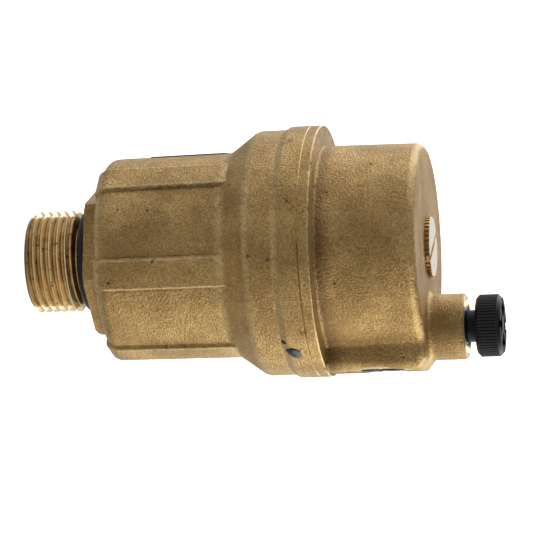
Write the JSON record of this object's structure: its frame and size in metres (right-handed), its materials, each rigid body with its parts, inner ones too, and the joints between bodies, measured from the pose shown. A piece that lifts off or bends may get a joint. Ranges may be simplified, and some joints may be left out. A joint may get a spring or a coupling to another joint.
{
  "type": "automatic air vent",
  "caption": "Brass float-type automatic air vent: threaded inlet with spanner hexagon, ribbed float chamber, screwed cover with side valve port and a knurled vent cap.",
  "frame": {"origin": "centre of the inlet thread's free end", "axes": "+Z along the float chamber, up towards the vent cap; +X towards the side port and the vent boss"},
  "size_m": [0.041, 0.041, 0.0774],
  "materials": {
    "cast_brass": "rough cast, fine grain, dull",
    "machined_brass": "turned, bright",
    "black_rubber": "satin",
    "black_plastic": "fine satin moulded",
    "float_plastic": "moulded, off-white",
    "stainless_wire": "drawn",
    "dark_label": "satin film"
  },
  "bodies": {
    "housing": {"lower_body": "cast_brass", "cover": "cast_brass", "inlet_o_ring": "black_rubber", "cover_o_ring": "black_rubber", "lever_pin": "stainless_wire", "lever_bracket": "stainless_wire", "bracket_nut": "machined_brass", "centre_screw": "machined_brass", "centre_screw_o_ring": "black_rubber", "valve_seat": "machined_brass", "valve_spring": "stainless_wire", "side_plug_seal": "black_rubber", "side_plug": "black_plastic", "label_plate": "dark_label"},
    "float": {"float_shell": "float_plastic", "float_lid": "float_plastic", "float_hook": "stainless_wire"},
    "lever": {"lever": "machined_brass"},
    "stem": {"valve_stem": "machined_brass", "valve_seal": "black_rubber"},
    "cap_lift": {"cap_o_ring": "black_rubber"},
    "cap": {"vent_cap": "black_plastic"}
  },
  "joints": [
    {"name": "float_rise", "type": "slide", "parent": "housing", "child": "float", "axis": [0, 0, 1], "range_m": [0, 0.002]},
    {"name": "lever_pivot", "type": "hinge", "parent": "housing", "child": "lever", "pos_m": [0.0066, 0, 0.06055], "axis": [0, 1, 0], "range_deg": [0, 17.3]},
    {"name": "stem_slide", "type": "slide", "parent": "housing", "child": "stem", "axis": [-1, 0, 0], "range_m": [0, 0.00090239], "deforming": ["valve_spring"]},
    {"name": "cap_lift_slide", "type": "slide", "parent": "housing", "child": "cap_lift", "axis": [0, 0, 1], "range_m": [-0.0015, 0.0015]},
    {"name": "cap_turn", "type": "hinge", "parent": "cap_lift", "child": "cap", "pos_m": [0.0131, 0, 0.075], "axis": [0, 0, 1], "range_deg": [-540, 540]}
  ],
  "couplings": [
    {"joint": "lever_pivot", "follows": "float_rise", "rad_per_m": 150.97},
    {"joint": "stem_slide", "follows": "float_rise", "ratio": 0.45119},
    {"joint": "cap_turn", "follows": "cap_lift_slide", "rad_per_m": 6283.2}
  ]
}
